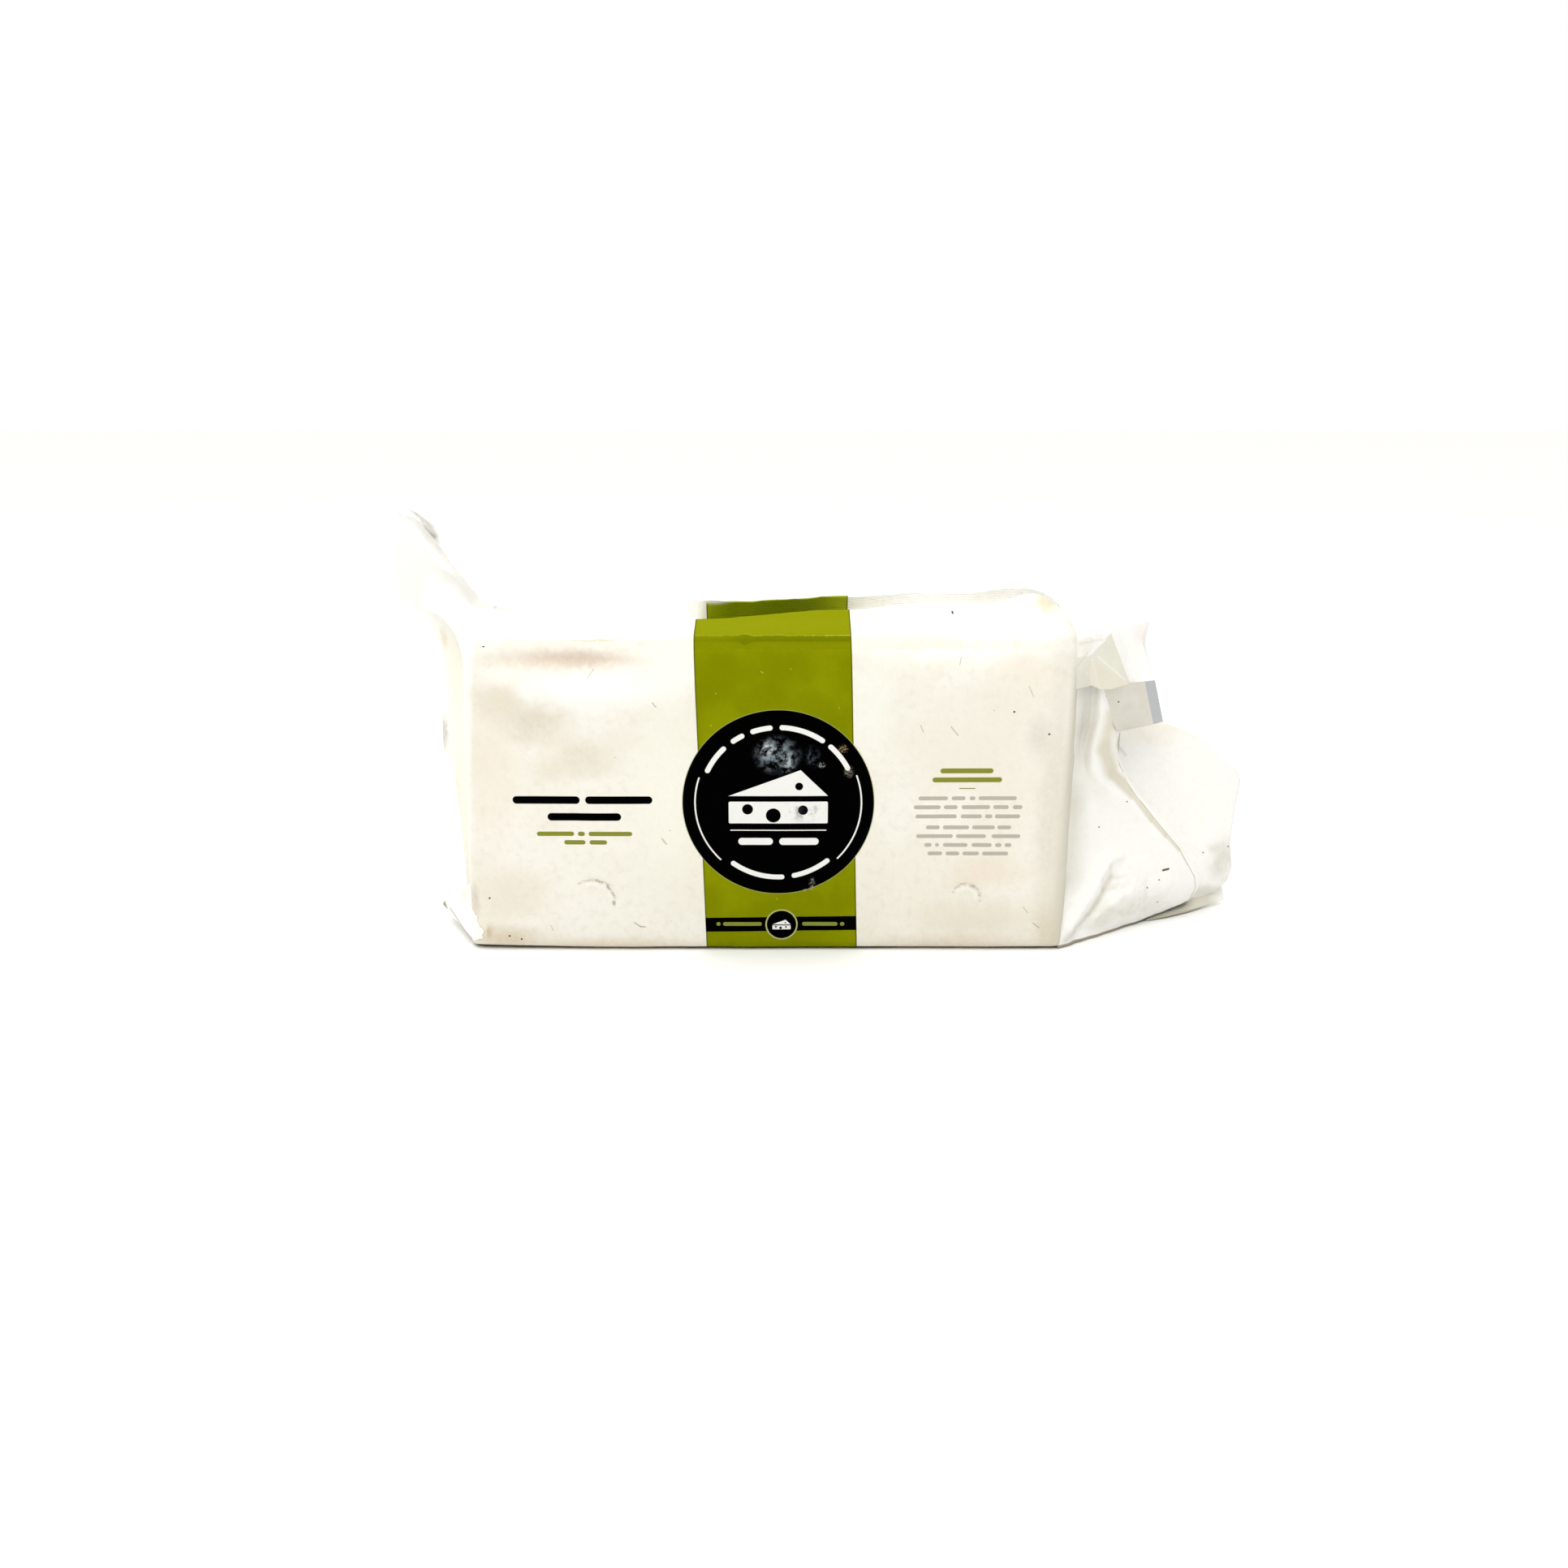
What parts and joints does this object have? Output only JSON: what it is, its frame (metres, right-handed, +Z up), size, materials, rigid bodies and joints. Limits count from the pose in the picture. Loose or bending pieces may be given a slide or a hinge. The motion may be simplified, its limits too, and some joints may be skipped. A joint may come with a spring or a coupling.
{
  "type": "vintage cheddar pack",
  "caption": "Shut pack of vintage cheddar: a brick of cheese in a heat-sealed film tube, with a crimped fin along the top and crumpled film tails at both ends.",
  "frame": {"origin": "middle of the pack's bounding box at the surface it stands on", "axes": "+X along the pack towards its longer film tail, +Y away from the printed panel, +Z up"},
  "size_m": [0.284, 0.08, 0.137],
  "materials": {
    "film": "satin opaque off-white packaging film, printed with a green band and a black disc"
  },
  "bodies": {
    "root": {"pack": "film"}
  },
  "joints": []
}
